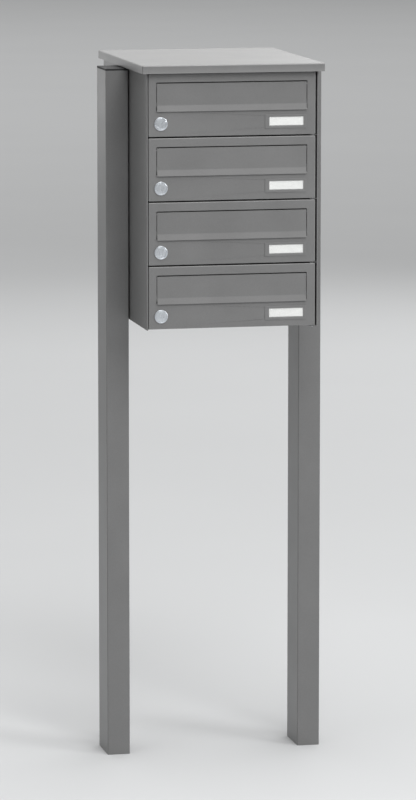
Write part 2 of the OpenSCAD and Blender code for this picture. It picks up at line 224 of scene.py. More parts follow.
def powder_coat(name, base, light, fold_highlight_colour, gloss):
    """Baked polyester powder: satin, IOR 1.5, with a grain that softens each highlight."""
    made, tree, place = start_material(name)
    grain = add(tree, "ShaderNodeTexNoise", inputs=sized(place, GRAIN_MM, 3.0, 0.6))
    peel = add(tree, "ShaderNodeTexNoise", inputs=sized(place, PEEL_MM))
    cloud = add(tree, "ShaderNodeTexNoise", inputs=sized(place, CLOUD_MM, 3.0))
    fine_tone = add(tree, "ShaderNodeMapRange", inputs=over(grain, 0.0, GRAIN_TONE))
    wide_tone = add(tree, "ShaderNodeMapRange", inputs=over(cloud, 0.0, CLOUD_TONE))
    tone = add(tree, "ShaderNodeMath", PLUS, {0: fine_tone, 1: wide_tone})
    flat = add(tree, "ShaderNodeMix", COLOUR, between(tone, base, light))
    # painted highlight: folds and rounded edges are mixed towards a lighter colour, partly for thin
    # powder
    fold = add(tree, "ShaderNodeAttribute", {"attribute_name": "fold"}).outputs["Fac"]
    highlight_share = add(tree, "ShaderNodeMath", TIMES, {0: fold, 1: FOLD_HIGHLIGHT})
    colour = add(tree, "ShaderNodeMix", COLOUR, between(highlight_share, flat.outputs[BLENDED], fold_highlight_colour))
    wave = add(tree, "ShaderNodeBump", inputs=relief(peel, PEEL_DEPTH))
    close_material(tree, colour.outputs[BLENDED], over(cloud, gloss - 0.02, gloss + 0.03),
                   {**relief(grain, GRAIN_DEPTH), "Normal": wave}, {"IOR": 1.5})
    return made


# aaaaaa is the painted highlight colour along the folds
coat = powder_coat("polyester_powder_coat_grey", "#6c6c6c", "#767676", "#aaaaaa", 0.36)
print("made", coat.name)

# %% [markdown]
# ## Bare metals
#
# Three metals show: drawn stainless steel on pins, rods, springs, rivets and screws; zinc plating
# on latches, nuts and spacers; and satin nickel on the locks. All are true metals, so they have no
# colour of their own below the reflection, and the default IOR stays. What tells them apart is how
# their gloss breaks: drawing leaves a fine grain on a wire, plating leaves pale clouds, and a
# nickel-plated face that was turned on a lathe keeps rings round its axis.

# %% Stainless steel, zinc and nickel
DRAWN_MM = 0.6           # drawing marks are finer; drawn this wide so that a few show
SPANGLE_MM = 6.0
RINGS_PER_MM = 2.2


def stainless_steel():
    """Drawn stainless wire and bar: bright, neutral, with marks that blur the gloss unevenly."""
    made, tree, place = start_material("drawn_stainless_steel")
    marks = add(tree, "ShaderNodeTexNoise", inputs=sized(place, DRAWN_MM, 4.0, 0.7))
    tone = add(tree, "ShaderNodeMix", COLOUR, between(marks, "#a3a5a8", "#c9cacc"))
    close_material(tree, tone.outputs[BLENDED], over(marks, 0.24, 0.40), relief(marks, 0.01),
                   {"Metallic": 1.0})
    return made


def zinc_plate():
    """Zinc plating: dull blue-white, cloudy, with faint cells where its crystals meet."""
    made, tree, place = start_material("clear_passivated_zinc")
    cells = add(tree, "ShaderNodeTexVoronoi", inputs={
        "Vector": place, "Scale": 1 / (SPANGLE_MM * MM)})
    cell = add(tree, "ShaderNodeSeparateColor", inputs={"Color": cells.outputs["Color"]})
    tone = add(tree, "ShaderNodeMix", COLOUR, between(cell, "#a1a5a8", "#b9bcbb"))
    cloud = add(tree, "ShaderNodeTexNoise", inputs=sized(place, 3.0, 3.0))
    close_material(tree, tone.outputs[BLENDED], over(cloud, 0.38, 0.56), relief(cloud, 0.01),
                   {"Metallic": 1.0})
    return made


def satin_nickel():
    """Nickel on a zinc casting: pale and satin, with turning rings round the lock's axis."""
    made, tree, place = start_material("satin_nickel_plate")
    radius = add(tree, "ShaderNodeAttribute", {"attribute_name": "radius_mm"}).outputs["Fac"]
    outward = add(tree, "ShaderNodeCombineXYZ", inputs={"X": radius})
    rings = add(tree, "ShaderNodeTexNoise", inputs={
        "Vector": outward, "Scale": RINGS_PER_MM, "Detail": 3.0})
    tone = add(tree, "ShaderNodeMix", COLOUR, between(rings, "#d6dbe1", "#eef2f7"))
    cloud = add(tree, "ShaderNodeTexNoise", inputs=sized(place, 2.5))
    close_material(tree, tone.outputs[BLENDED], over(cloud, 0.26, 0.38), relief(rings, 0.02),
                   {"Metallic": 1.0})
    return made


steel = stainless_steel()
zinc = zinc_plate()
nickel = satin_nickel()
print("made", steel.name, zinc.name, nickel.name)

# %% [markdown]
# ## Plastic, card and film
#
# The post caps are injection-moulded polyethylene with a fine spark-eroded grain. The name cards
# are plain uncoated card, left blank, whose fibres make it slightly mottled. A thin clear film lies
# over each card; most light has to pass straight through it, so it is nearly transparent and keeps
# only a little gloss.

# %% Moulded plastic, card and film
def moulded_polyethylene():
    """Black polyethylene: waxy, low gloss, with a fine pebbled mould grain."""
    made, tree, place = start_material("moulded_black_polyethylene")
    pebbles = add(tree, "ShaderNodeTexNoise", inputs=sized(place, 1.2, 2.0, 0.6))
    tone = add(tree, "ShaderNodeMix", COLOUR, between(pebbles, "#131415", "#202123"))
    close_material(tree, tone.outputs[BLENDED], over(pebbles, 0.55, 0.72), relief(pebbles, 0.05),
                   {"IOR": 1.46})
    return made


def uncoated_card():
    """White card stock: matt, with short fibres that roughen it and a slightly mottled tone."""
    made, tree, place = start_material("uncoated_white_card")
    fibres = add(tree, "ShaderNodeTexNoise", inputs=sized(place, 0.9, 4.0, 0.7))
    mottle = add(tree, "ShaderNodeTexNoise", inputs=sized(place, 8.0))
    tone = add(tree, "ShaderNodeMix", COLOUR, between(mottle, "#dededc", "#eaeae8"))
    close_material(tree, tone.outputs[BLENDED], over(fibres, 0.75, 0.92), relief(fibres, 0.03),
                   {"IOR": 1.45})
    return made


def clear_film():
    """Calendered clear film: smooth and glossy, with a faint ripple, and almost all see-through."""
    made, tree, place = start_material("clear_film")
    ripple = add(tree, "ShaderNodeTexNoise", inputs=sized(place, 14.0))
    close_material(tree, linear("#f6f8f8"), over(ripple, 0.05, 0.12), relief(ripple, 0.02),
                   {"IOR": 1.5, "Alpha": 0.14})
    return made


plastic = moulded_polyethylene()
card = uncoated_card()
film = clear_film()
print("made", plastic.name, card.name, film.name)

# %% [markdown]
# ## Hoops: one way to draw folded sheet
#
# Nearly every outline on this object is a rectangle with round corners, and a circle is only the
# roundest of them. So a folded door, a lid, a moulded cap and a turned lock can all be drawn like a
# barrel: hoops at different depths, with bands of faces between them. Close-set hoops along a
# quarter circle make a fold with a true bend radius. A flat face is filled in between one outer
# hoop and the hoops of its holes. This gives the folds that a box with cut-outs can't have, and
# each dimension stays a plain number in millimetres. The sizes of a piece have names. The chamfers
# and roundings of a few tenths of a millimetre are written where they are drawn.

# %% Places and sizes
def box_mm(node):
    """The lowest and highest corners of a CAD node, in millimetres."""
    low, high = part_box(node)
    return low / MM, high / MM


def outline(node, axes):
    """The centre and the size of a CAD node as seen along its third axis."""
    low, high = box_mm(node)
    sides = [(getattr(low, axis), getattr(high, axis)) for axis in axes]
    return tuple((a + b) / 2 for a, b in sides), tuple(b - a for a, b in sides)


def new_shape():
    """An empty mesh under construction, with the attributes that materials read."""
    shape = bmesh.new()
    # the first attribute says how strongly each point gets the painted fold highlight
    shape.verts.layers.float.new("fold")
    shape.verts.layers.float.new("radius_mm")
    return shape


def facing_front(face_y):
    """Places (across, up, depth) behind a plane that faces -Y."""
    return lambda across, up, depth: (across, face_y + depth, up)


def facing_up(top_z):
    """Places (across, back, depth) below a plane that faces +Z."""
    return lambda across, back, depth: (across, back, top_z - depth)


def facing_side(start_x):
    """Places (back, up, depth) along X from a start."""
    return lambda back, up, depth: (start_x + depth, back, up)


print("the lid measures", [round(side, 1) for side in outline("lid", "xy")[1]], "mm")


# %% Hoops, bands and flat faces
CORNER_STEPS = 6
LEAST_RADIUS = 0.12
SAME_PLACE = 1e-5        # points nearer than this, in millimetres, are one corner of a flat face


def hoop(shape, place, centre, size, corner, depth, inset=0.0, fold=0.0, steps=CORNER_STEPS):
    """One hoop: a rectangle with round corners, made smaller all round by inset.

    Where the corners leave no straight side, it is a circle, and its quarters share their ends.
    """
    half = [s / 2 - inset for s in size]
    radius = min(max(corner - inset, LEAST_RADIUS), half[0], half[1])
    layers = shape.verts.layers.float
    circle = radius > max(half) - 1e-6
    points = []
    for turn, (side_u, side_v) in enumerate(((1, 1), (-1, 1), (-1, -1), (1, -1))):
        for k in range(steps if circle else steps + 1):
            angle = math.radians(90 * (turn + k / steps))
            u = side_u * (half[0] - radius) + radius * math.cos(angle)
            v = side_v * (half[1] - radius) + radius * math.sin(angle)
            point = shape.verts.new(Vector(place(centre[0] + u, centre[1] + v, depth)) * MM)
            # how much painted highlight this hoop carries
            point[layers["fold"]] = fold
            point[layers["radius_mm"]] = math.hypot(u, v)
            points.append(point)
    return points


def band(shape, first, second):
    """The faces between two hoops of the same count."""
    count = len(first)
    for k in range(count):
        n = (k + 1) % count
        shape.faces.new((first[k], first[n], second[n], second[k]))


def barrel(shape, hoops, closed=False):
    """Bands through a list of hoops; closed joins the last to the first."""
    for first, second in zip(hoops, hoops[1:]):
        band(shape, first, second)
    if closed:
        band(shape, hoops[-1], hoops[0])


def flat_face(shape, outer, *holes):
    """Fills a flat region between one outer hoop and the hoops of its holes, which are convex."""
    if not holes:
        shape.faces.new(outer)
        return
    loops = (outer, *holes)
    points = [point for loop in loops for point in loop]
    owner = [n for n, loop in enumerate(loops) for point in loop]
    spans = [max(p.co[a] for p in outer) - min(p.co[a] for p in outer) for a in range(3)]
    first, second = sorted(range(3), key=lambda a: spans[a])[1:]
    flat = [Vector((point.co[first], point.co[second])) / MM for point in points]
    edges = []
    for loop in loops:
        start = len(edges)
        edges += [(start + k, start + (k + 1) % len(loop)) for k in range(len(loop))]
    filled = delaunay_2d_cdt(flat, edges, [], 0, SAME_PLACE)
    for corners in filled[2]:
        used = [filled[3][corner][0] for corner in corners]
        owners = {owner[n] for n in used}
        if len(owners) > 1 or owners == {0}:     # a triangle within one hole is left out
            shape.faces.new([points[n] for n in used])


print("hoops have", 4 * (CORNER_STEPS + 1), "points")


# %% Solids made of hoops
BLOCK_CORNER = 0.5


def slab(shape, first, second):
    """A solid between two hoops."""
    flat_face(shape, first)
    band(shape, first, second)
    flat_face(shape, second)


def disc(shape, place, centre, radius, depth, steps):
    """A round hoop."""
    return hoop(shape, place, centre, (2 * radius, 2 * radius), radius, depth, steps=steps)


def turned(shape, place, centre, profile, steps):
    """A lathe: a closed profile of (radius, depth) points turned round an axis."""
    hoops = [disc(shape, place, centre, radius, depth, steps) for radius, depth in profile]
    barrel(shape, hoops, closed=True)


def solid_box(shape, low, high):
    """A small block with round upright corners, between two opposite corners."""
    place = facing_up(high[2])
    centre = ((low[0] + high[0]) / 2, (low[1] + high[1]) / 2)
    size = (high[0] - low[0], high[1] - low[1])
    slab(shape, *(hoop(shape, place, centre, size, BLOCK_CORNER, d) for d in (0, high[2] - low[2])))


def extruded(shape, place, outline_points, length):
    """A closed outline of (u, v) points, drawn along the place's depth."""
    slab(shape, *([shape.verts.new(Vector(place(u, v, depth)) * MM) for u, v in outline_points]
                  for depth in (0, length)))


print("small blocks have corners of", BLOCK_CORNER, "mm")

# %% [markdown]
# ## Finishing a piece
#
# A sharp mathematical edge reflects nothing, so a model without broken edges looks like paper.
# Every piece gets the same finish: doubles merged, faces turned outward, each remaining sharp edge
# broken by a small bevel, and normals weighted by face area so that large flat sheets stay flat
# right up to their folds. The modifiers are then turned into one plain mesh, and the piece is tied
# to the body it moves with and to the CAD nodes it stands for.

# %% Finishing helpers
SHARP = math.radians(38)
MERGE = 0.004 * MM
CAD_MERGE = 0.01 * MM


def plain(piece):
    """Turns a piece and its modifiers into one plain mesh."""
    graph = bpy.context.evaluated_depsgraph_get()
    made = bpy.data.meshes.new_from_object(
        piece.evaluated_get(graph), preserve_all_data_layers=True, depsgraph=graph)
    piece.modifiers.clear()
    piece.data = made
    made.name = piece.name
    return piece


def tie(piece, body, slot, *nodes):
    """The piece rides a body and stands for CAD nodes, which it hides; slot is not used."""
    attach(piece, body)
    if nodes:
        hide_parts(*nodes)
    return piece


def finish_shape(shape, name, finish, edge_mm=0.25):
    """A finished object from a mesh under construction."""
    bmesh.ops.remove_doubles(shape, verts=shape.verts, dist=MERGE)
    bmesh.ops.recalc_face_normals(shape, faces=shape.faces)
    data = bpy.data.meshes.new(name)
    shape.to_mesh(data)
    shape.free()
    data.shade_smooth()
    data.materials.append(finish)
    piece = bpy.data.objects.new(name, data)
    bpy.context.collection.objects.link(piece)
    broken = piece.modifiers.new("broken_edges", "BEVEL")
    broken.width = edge_mm * MM
    broken.segments = 2
    broken.limit_method = "ANGLE"
    broken.angle_limit = SHARP
    broken.use_clamp_overlap = False
    weighted = piece.modifiers.new("flat_sheets", "WEIGHTED_NORMAL")
    weighted.mode = "FACE_AREA"
    weighted.weight = 90
    return plain(piece)


def softened(node, finish, edge_mm, slot):
    """A copy of a CAD node with merged points and broken edges, which stands for it."""
    shape = bmesh.new()
    shape.from_mesh(frame["nodes"][node].data)
    bmesh.ops.remove_doubles(shape, verts=shape.verts, dist=CAD_MERGE)
    piece = finish_shape(shape, node + "_finished", finish, edge_mm)
    return tie(piece, frame["nodes"][node]["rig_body"], slot, node)


def report(*pieces):
    """Prints what a cell made."""
    for piece in pieces:
        print("made", piece.name, "with", len(piece.data.polygons), "faces")


# %% [markdown]
# ## The rain lid
#
# The lid is one folded tray turned upside down: a flat top with a lip bent down on all four sides,
# its corners welded and ground round. A tray is drawn once, as a function, because the doors are
# trays too. Its outer skin goes from the flat face round the bend and down to the free edge, and
# its inner skin comes back one sheet thickness inside.

# %% A folded tray, and the lid
LID_SHEET = 1.5
LID_BEND = 2.4
LID_CORNER = 2.6
FOLD_STEPS = 5
FREE_EDGE_HIGHLIGHT = 0.6     # a free edge is painted lighter too, but less than a bend: a painted highlight, partly thin powder


def tray(shape, place, centre, size, corner, bend, depth, sheet):
    """The skins of a folded tray. Returns the hoops that bound its face, in front and behind."""
    outside, inside = [], []
    for k in range(FOLD_STEPS + 1):
        angle = math.radians(90 * k / FOLD_STEPS)
        # the painted highlight is strongest halfway round the bend
        fold = math.sin(2 * angle)
        for hoops, radius in ((outside, bend), (inside, bend - sheet)):
            inset = bend - radius * math.sin(angle)
            level = bend - radius * math.cos(angle)
            hoops.append(hoop(shape, place, centre, size, corner, level, inset, fold))
    outside.append(hoop(shape, place, centre, size, corner, depth, 0, FREE_EDGE_HIGHLIGHT))
    inside.append(hoop(shape, place, centre, size, corner, depth, sheet, FREE_EDGE_HIGHLIGHT))
    barrel(shape, outside + inside[::-1])
    return outside[0], inside[0]


def rain_lid():
    """The lid, with its flat top and its four lips."""
    low, high = box_mm("lid")
    centre, size = outline("lid", "xy")
    shape = new_shape()
    faces = tray(shape, facing_up(high.z), centre, size, LID_CORNER, LID_BEND, high.z - low.z,
                 LID_SHEET)
    for face in faces:
        flat_face(shape, face)
    return tie(finish_shape(shape, "rain_lid", coat), "housing", "powder_coat", "lid")


report(rain_lid())

# %% [markdown]
# ## The doors
#
# Each door is a tray as well, hung on a rod at the right. Behind the flap its sheet is drawn back
# into a shallow pan, so that rain on the flap can't run inside, and the letters pass through a slot
# in the pan's floor. The lock and the name holder sit in two more holes. All of that is one closed
# skin: face, pan, slot, back and folded edges. Two rolled knuckles take the hinge rod, which also
# runs through a hole in each level edge, and two small tabs stop the flap.

# %% The sheet and its pan
SHEET = 1.2
DOOR_BEND = 1.4
DOOR_CORNER = 1.6
DOOR_EDGE = 12.0
PAN_DEPTH = 10.0
PAN_GAP = 1.0            # between the flap and the pan's side walls
PAN_TOP_GAP = 1.9        # above the flap
PAN_LIP = 1.6            # how far the flap's lip covers the pan's lower edge
SLOT_SIZE = (234.0, 33.0)
SLOT_DROP = 29.0         # from the line between two doors down to the slot
LINE_GAP = 1.25          # from that line down to the door


def door_pan(shape, place, centre, size, slot_centre):
    """The pan behind the flap. Returns its hoops in the door's face and in the back of it."""
    def at(depth, outset, fold=0.0):
        return hoop(shape, place, centre, size, 1.4, depth, -outset, fold)

    # the pan's rounded lip gets the full painted fold highlight
    front = [at(0, 0.6), at(0.12, 0.24, 1), at(0.5, 0), at(PAN_DEPTH - 0.9, 0)]
    front += [at(PAN_DEPTH - 0.25, -0.25), at(PAN_DEPTH, -0.9)]
    back_depth = PAN_DEPTH + SHEET
    back = [at(SHEET, SHEET), at(back_depth - 1.4, SHEET), at(back_depth - 0.4, SHEET - 0.4)]
    back.append(at(back_depth, SHEET - 1.4))
    slot = [hoop(shape, place, slot_centre, SLOT_SIZE, 2.5, d) for d in (PAN_DEPTH, back_depth)]
    barrel(shape, front)
    barrel(shape, back)
    band(shape, *slot)
    flat_face(shape, front[-1], slot[0])
    flat_face(shape, back[-1], slot[1])
    return front[0], back[0]


print("a door's pan is", PAN_DEPTH, "mm deep")


# %% Holes and knuckles
LOCK_HOLE = 9.5          # radii
ROD_HOLE = 2.2
EYE = (3.7, 2.05)        # a knuckle's outer and inner radius
EYE_LENGTH = 14.0
EYE_BREAK = 0.4          # how its rims are broken, outside and inside
BORE_BREAK = 0.2
LEG_REACH = (-3.9, 1.6)  # where the knuckle's leg starts and ends, behind the rod's axis


def round_hole(shape, place, centre, radius):
    """A drilled hole through the door's sheet, as its front and back hoops."""
    hoops = [disc(shape, place, centre, radius, depth, 10) for depth in (0, SHEET)]
    band(shape, *hoops)
    return hoops


def knuckle(shape, hinge, base_z, door_right):
    """A rolled eye round the hinge rod, with the leg that joins it to the door."""
    outer, inner = EYE
    top = base_z + EYE_LENGTH
    profile = [(outer, EYE_BREAK), (outer - EYE_BREAK, 0), (inner + BORE_BREAK, 0)]
    profile += [(inner, BORE_BREAK), (inner, EYE_LENGTH - BORE_BREAK)]
    profile += [(inner + BORE_BREAK, EYE_LENGTH), (outer - EYE_BREAK, EYE_LENGTH)]
    profile.append((outer, EYE_LENGTH - EYE_BREAK))
    turned(shape, facing_up(top), (hinge.x, hinge.y), profile, 6)
    start, end = LEG_REACH
    solid_box(shape, (hinge.x + inner + 0.5, hinge.y + start, base_z),
              (door_right, hinge.y + end, top))


def rod_holes(shape, low, high, hinge):
    """Drills the door's two level edges for the hinge rod."""
    for heights in ((high.z, high.z - SHEET), (low.z + SHEET, low.z)):
        rings = []
        for z in heights:
            level = [f for f in shape.faces if all(abs(v.co.z / MM - z) < 0.01 for v in f.verts)]
            widest = max(level, key=lambda f: f.calc_area())
            around = list(widest.verts)
            shape.faces.remove(widest)
            rings.append(disc(shape, facing_up(z), (hinge.x, hinge.y), ROD_HOLE, 0, 6))
            flat_face(shape, around, rings[-1])
        band(shape, *rings)


print("the hinge rod has", round(ROD_HOLE - outline("hinge_rod", "xy")[1][0] / 2, 2), "mm of room")


# %% The doors
NAME_RIM = 2.0           # how far the name holder's rim covers the door round its hole
EYE_INSET = 8.75         # from the knuckles to the door's ends
STOP = (5.0, 7.0)        # a flap stop's width and height
STOP_DEPTH = 1.7         # behind the door's face
STOP_RISE = 7.0          # above the pan's lower edge
STOP_OVERLAP = 0.3       # into the pan's wall


def door(i):
    """One door of compartment i, with its pan, slot, holes, knuckles and stops."""
    low, high = box_mm(f"door_{i}")
    flap_low, flap_high = box_mm(f"flap_{i}")
    rod_low, rod_high = box_mm("hinge_rod")
    place = facing_front(low.y)
    shape = new_shape()
    face, back = tray(shape, place, *outline(f"door_{i}", "xz"), DOOR_CORNER, DOOR_BEND, DOOR_EDGE,
                      SHEET)

    pan_top = flap_high.z + PAN_TOP_GAP
    pan_base = flap_low.z + PAN_LIP
    pan_centre = ((flap_low.x + flap_high.x) / 2, (pan_top + pan_base) / 2)
    pan_size = (flap_high.x - flap_low.x + 2 * PAN_GAP, pan_top - pan_base)
    slot_z = high.z + LINE_GAP - SLOT_DROP - SLOT_SIZE[1] / 2
    pan_front, pan_back = door_pan(shape, place, pan_centre, pan_size, (pan_centre[0], slot_z))

    lock_centre = outline(f"lock_body_{i}", "xz")[0]
    lock_front, lock_back = round_hole(shape, place, lock_centre, LOCK_HOLE)
    name_centre, name_size = outline(f"name_holder_{i}", "xz")
    name_hole = [hoop(shape, place, name_centre, name_size, 1.0 + NAME_RIM, depth, NAME_RIM)
                 for depth in (0, SHEET)]
    band(shape, *name_hole)
    flat_face(shape, face, pan_front, lock_front, name_hole[0])
    flat_face(shape, back, pan_back, lock_back, name_hole[1])

    hinge = (rod_low + rod_high) / 2
    rod_holes(shape, low, high, hinge)
    for base in (low.z + EYE_INSET, high.z - EYE_INSET - EYE_LENGTH):
        knuckle(shape, hinge, base, high.x - SHEET / 2)
    wide, tall = STOP
    stop_y, stop_z = low.y + STOP_DEPTH, pan_base + STOP_RISE
    reach = pan_size[0] / 2 + STOP_OVERLAP
    for left in (pan_centre[0] - reach, pan_centre[0] + reach - wide):
        solid_box(shape, (left, stop_y, stop_z), (left + wide, stop_y + SHEET, stop_z + tall))
    piece = finish_shape(shape, f"door_sheet_{i}", coat)
    return tie(piece, f"door_{i}", "powder_coat", f"door_{i}")


report(*(door(i) for i in BAYS))

# %% [markdown]
# ## The letter flaps
#
# A flap is one strip of sheet with its lower edge bent outward for the fingers, and three short
# hinge tubes on its back. Its section is a line with a thickness, so the section is worked out from
# that line and drawn along the flap's width. The pin runs through the tubes into the pan's walls.

# %% Flaps
FLAP_LIP = 11.0          # the lip's height, and how far its edge comes forward
FLAP_KICK = 3.0
FLAP_BEND = 2.4          # the height over which it bends
TUBE = (2.6, 1.32)       # outer and inner radius
TUBE_LENGTH = 34.0
TUBE_INSET = 4.0


def ribbon(line, thickness):
    """The closed outline of a line with a thickness."""
    sides = ([], [])
    for k, point in enumerate(line):
        before, after = line[max(k - 1, 0)], line[min(k + 1, len(line) - 1)]
        along = Vector((after[0] - before[0], after[1] - before[1])).normalized()
        across = Vector((-along.y, along.x)) * thickness / 2
        sides[0].append((point[0] + across.x, point[1] + across.y))
        sides[1].append((point[0] - across.x, point[1] - across.y))
    return sides[0] + sides[1][::-1]


def flap(i):
    """The flap of compartment i, with its bent lip and hinge tubes."""
    low, high = box_mm(f"flap_{i}")
    pin_low, pin_high = box_mm(f"flap_pin_{i}")
    pin = (pin_low + pin_high) / 2
    face = low.y + FLAP_KICK
    middle = face + SHEET / 2
    bend_z = low.z + FLAP_LIP
    slope = FLAP_KICK / FLAP_LIP
    start_z = bend_z + FLAP_BEND / 2
    line = [(middle, high.z), (middle, start_z)]
    for step in (FLAP_BEND / 3, FLAP_BEND * 2 / 3, FLAP_BEND):
        line.append((middle - slope * step * step / (2 * FLAP_BEND), start_z - step))
    line.append((middle - FLAP_KICK, low.z))
    shape = new_shape()
    extruded(shape, facing_side(low.x), ribbon(line, SHEET), high.x - low.x)
    centre_x = (low.x + high.x) / 2
    outer, inner = TUBE
    profile = [(outer, 0), (inner, 0), (inner, TUBE_LENGTH), (outer, TUBE_LENGTH)]
    for start in (low.x + TUBE_INSET, centre_x - TUBE_LENGTH / 2,
                  high.x - TUBE_INSET - TUBE_LENGTH):
        turned(shape, facing_side(start), (pin.y, pin.z), profile, 6)
    piece = finish_shape(shape, f"letter_flap_{i}", coat, 0.3)
    return tie(piece, f"flap_{i}", "powder_coat", f"flap_{i}")


report(*(flap(i) for i in BAYS))
report(*(softened(f"flap_pin_{i}", steel, 0.3, "bright_steel") for i in BAYS))

# %% [markdown]
# ## The name holders
#
# A holder is a moulded frame that snaps into the door from the front. Its window shows a card in a
# pocket, under a clear film. The frame, its window and the pocket are hoops again, and so are the
# card and the film. The frame takes the door's coat. Cards are cut by hand, so a narrow dark gap
# stays open beside and below one.

# %% Name holders, cards and films
FRAME_CORNER = 1.4
FRAME_ROUND = 0.3
FRAME_GAP = 0.4          # the shadow gap between the frame's rim and the door
GAP_INSET = 1.2          # how far in that gap ends
BODY_INSET = 2.3
WINDOW_CORNER = 0.5
POCKET_WIDER = 1.2       # how far the pocket reaches past the window
CARD_MARGIN = 1.0        # how far the card's place reaches past the window on each side
CARD_GAPS = (0.7, 1.1)   # how far the card stops short of the window at the left and below
CARD_PLAY = 0.3          # between the card and the pocket's end, at the right and above
POCKET = (0.2, 2.2)      # depths behind the door's face
FILM = (-0.3, 0.12)
TOUCH = 0.02             # the least gap between two pieces that would touch


def name_holder(i):
    """The frame of compartment i's name card, and the film in its window."""
    low, high = box_mm(f"name_holder_{i}")
    face_y = box_mm(f"door_{i}")[0].y
    place = facing_front(face_y)
    proud, end = low.y - face_y, high.y - face_y
    centre, size = outline(f"name_holder_{i}", "xz")
    window_centre, card_size = outline(f"name_card_{i}", "xz")
    window = tuple(side - 2 * CARD_MARGIN for side in card_size)
    shape = new_shape()

    def rim(depth, inset, fold=0.0):
        return hoop(shape, place, centre, size, FRAME_CORNER, depth, inset, fold)

    def opening(depth, outset, fold=0.0):
        return hoop(shape, place, window_centre, window, WINDOW_CORNER, depth, -outset, fold)

    # the rounded rims of the frame and its window get a painted highlight
    outside = [rim(proud, FRAME_ROUND), rim(proud + 0.15, 0.15, 0.8), rim(proud + FRAME_ROUND, 0)]
    outside += [rim(-FRAME_GAP, 0), rim(-FRAME_GAP, GAP_INSET), rim(TOUCH, GAP_INSET)]
    outside += [rim(TOUCH, BODY_INSET), rim(end, BODY_INSET)]
    inside = [opening(proud, 0.4), opening(proud + 0.12, 0.12, 0.8), opening(proud + 0.45, 0)]
    inside += [opening(POCKET[0], 0), opening(POCKET[0], POCKET_WIDER)]
    inside.append(opening(POCKET[1], POCKET_WIDER))
    barrel(shape, outside)
    barrel(shape, inside)
    flat_face(shape, outside[0], inside[0])
    flat_face(shape, outside[-1])
    flat_face(shape, inside[-1])
    holder = finish_shape(shape, f"name_frame_{i}", coat, 0.12)
    tie(holder, f"door_{i}", "powder_coat", f"name_holder_{i}")

    sheet = new_shape()
    slab(sheet, *(hoop(sheet, place, window_centre, window, WINDOW_CORNER, d, 0.1) for d in FILM))
    window_film = finish_shape(sheet, f"window_film_{i}", film, 0.05)
    return holder, tie(window_film, f"door_{i}", "white_card")


def name_card(i):
    """The blank card, cut by hand a little short, so that the pocket shows at two of its edges."""
    low, high = box_mm(f"name_card_{i}")
    face_y = box_mm(f"door_{i}")[0].y
    left, base = low.x + CARD_MARGIN + CARD_GAPS[0], low.z + CARD_MARGIN + CARD_GAPS[1]
    right, top = high.x - CARD_PLAY, high.z - CARD_PLAY
    centre, size = ((left + right) / 2, (base + top) / 2), (right - left, top - base)
    shape = new_shape()
    slab(shape, *(hoop(shape, facing_front(face_y), centre, size, 0.4, edge.y - face_y)
                  for edge in (low, high)))
    piece = finish_shape(shape, f"blank_card_{i}", card, 0.05)
    return tie(piece, f"door_{i}", "white_card", f"name_card_{i}")


for i in BAYS:
    report(*name_holder(i))
report(*(name_card(i) for i in BAYS))

# %% [markdown]
# ## The cam locks
#
# A cam lock is turned and die-cast. Its body has a front ring and a threaded barrel, and inside it
# turns a plug with a flat head and a keyway that a small shutter closes against rain. The body is
# a lathe profile whose thread is a row of ridges. On the plug, the keyway is a hole in the head's
# flat face, so the plug is drawn with hoops.

# %% Lock bodies
THREAD_PITCH = 1.25
THREAD_DEPTH = 0.35
BARREL = 9.4             # radii of the barrel, the plug and the plug's head
PLUG = 7.0
PLUG_HEAD = 9.35
HEAD_SEAT = 0.8          # how far the head's seat lies before the door's face
RING_BREAK = 0.8         # how the front ring's outer edge is rounded


def lock_body(i):
    """The ring and threaded barrel of compartment i's lock."""
    low, high = box_mm(f"lock_body_{i}")
    face_y = box_mm(f"door_{i}")[0].y
    centre, size = outline(f"lock_body_{i}", "xz")
    ring = size[0] / 2
    proud, end = low.y - face_y, high.y - face_y
    bore, seat = PLUG + 0.05, PLUG_HEAD + 0.1
    profile = [(bore, end), (bore, -HEAD_SEAT), (seat, -HEAD_SEAT), (seat, proud + 0.3)]
    profile += [(seat + 0.3, proud), (ring - RING_BREAK, proud), (ring - 0.25, proud + 0.25)]
    profile += [(ring, proud + RING_BREAK), (ring, -TOUCH), (BARREL, -TOUCH), (BARREL, SHEET)]
    for k in range(int((end - SHEET - 1) / THREAD_PITCH)):
        start = SHEET + 0.3 + k * THREAD_PITCH
        profile += [(BARREL - THREAD_DEPTH, start), (BARREL, start + THREAD_PITCH / 2)]
    profile += [(BARREL - THREAD_DEPTH, end - 0.6), (BARREL - 0.6, end)]
    shape = new_shape()
    turned(shape, facing_front(face_y), centre, profile, 10)
    piece = finish_shape(shape, f"lock_barrel_{i}", nickel, 0.1)
    return tie(piece, f"door_{i}", "nickel", f"lock_body_{i}")


print("a lock's barrel is", 2 * BARREL, "mm wide")


# %% Lock plugs, latches and nuts
GROOVE_IN = 1.5          # from the head's edge to the groove turned in its face
KEYWAY = (1.3, 8.2)
SHUTTER = 0.45           # how deep the shutter lies behind the plug's face
SQUARE = (6.9, 6.9)      # the tail that carries the latch
SQUARE_HEIGHT = 4.0
RIVET = 4.9              # the radius of the rivet head at its end
RIVET_HEIGHT = 1.2


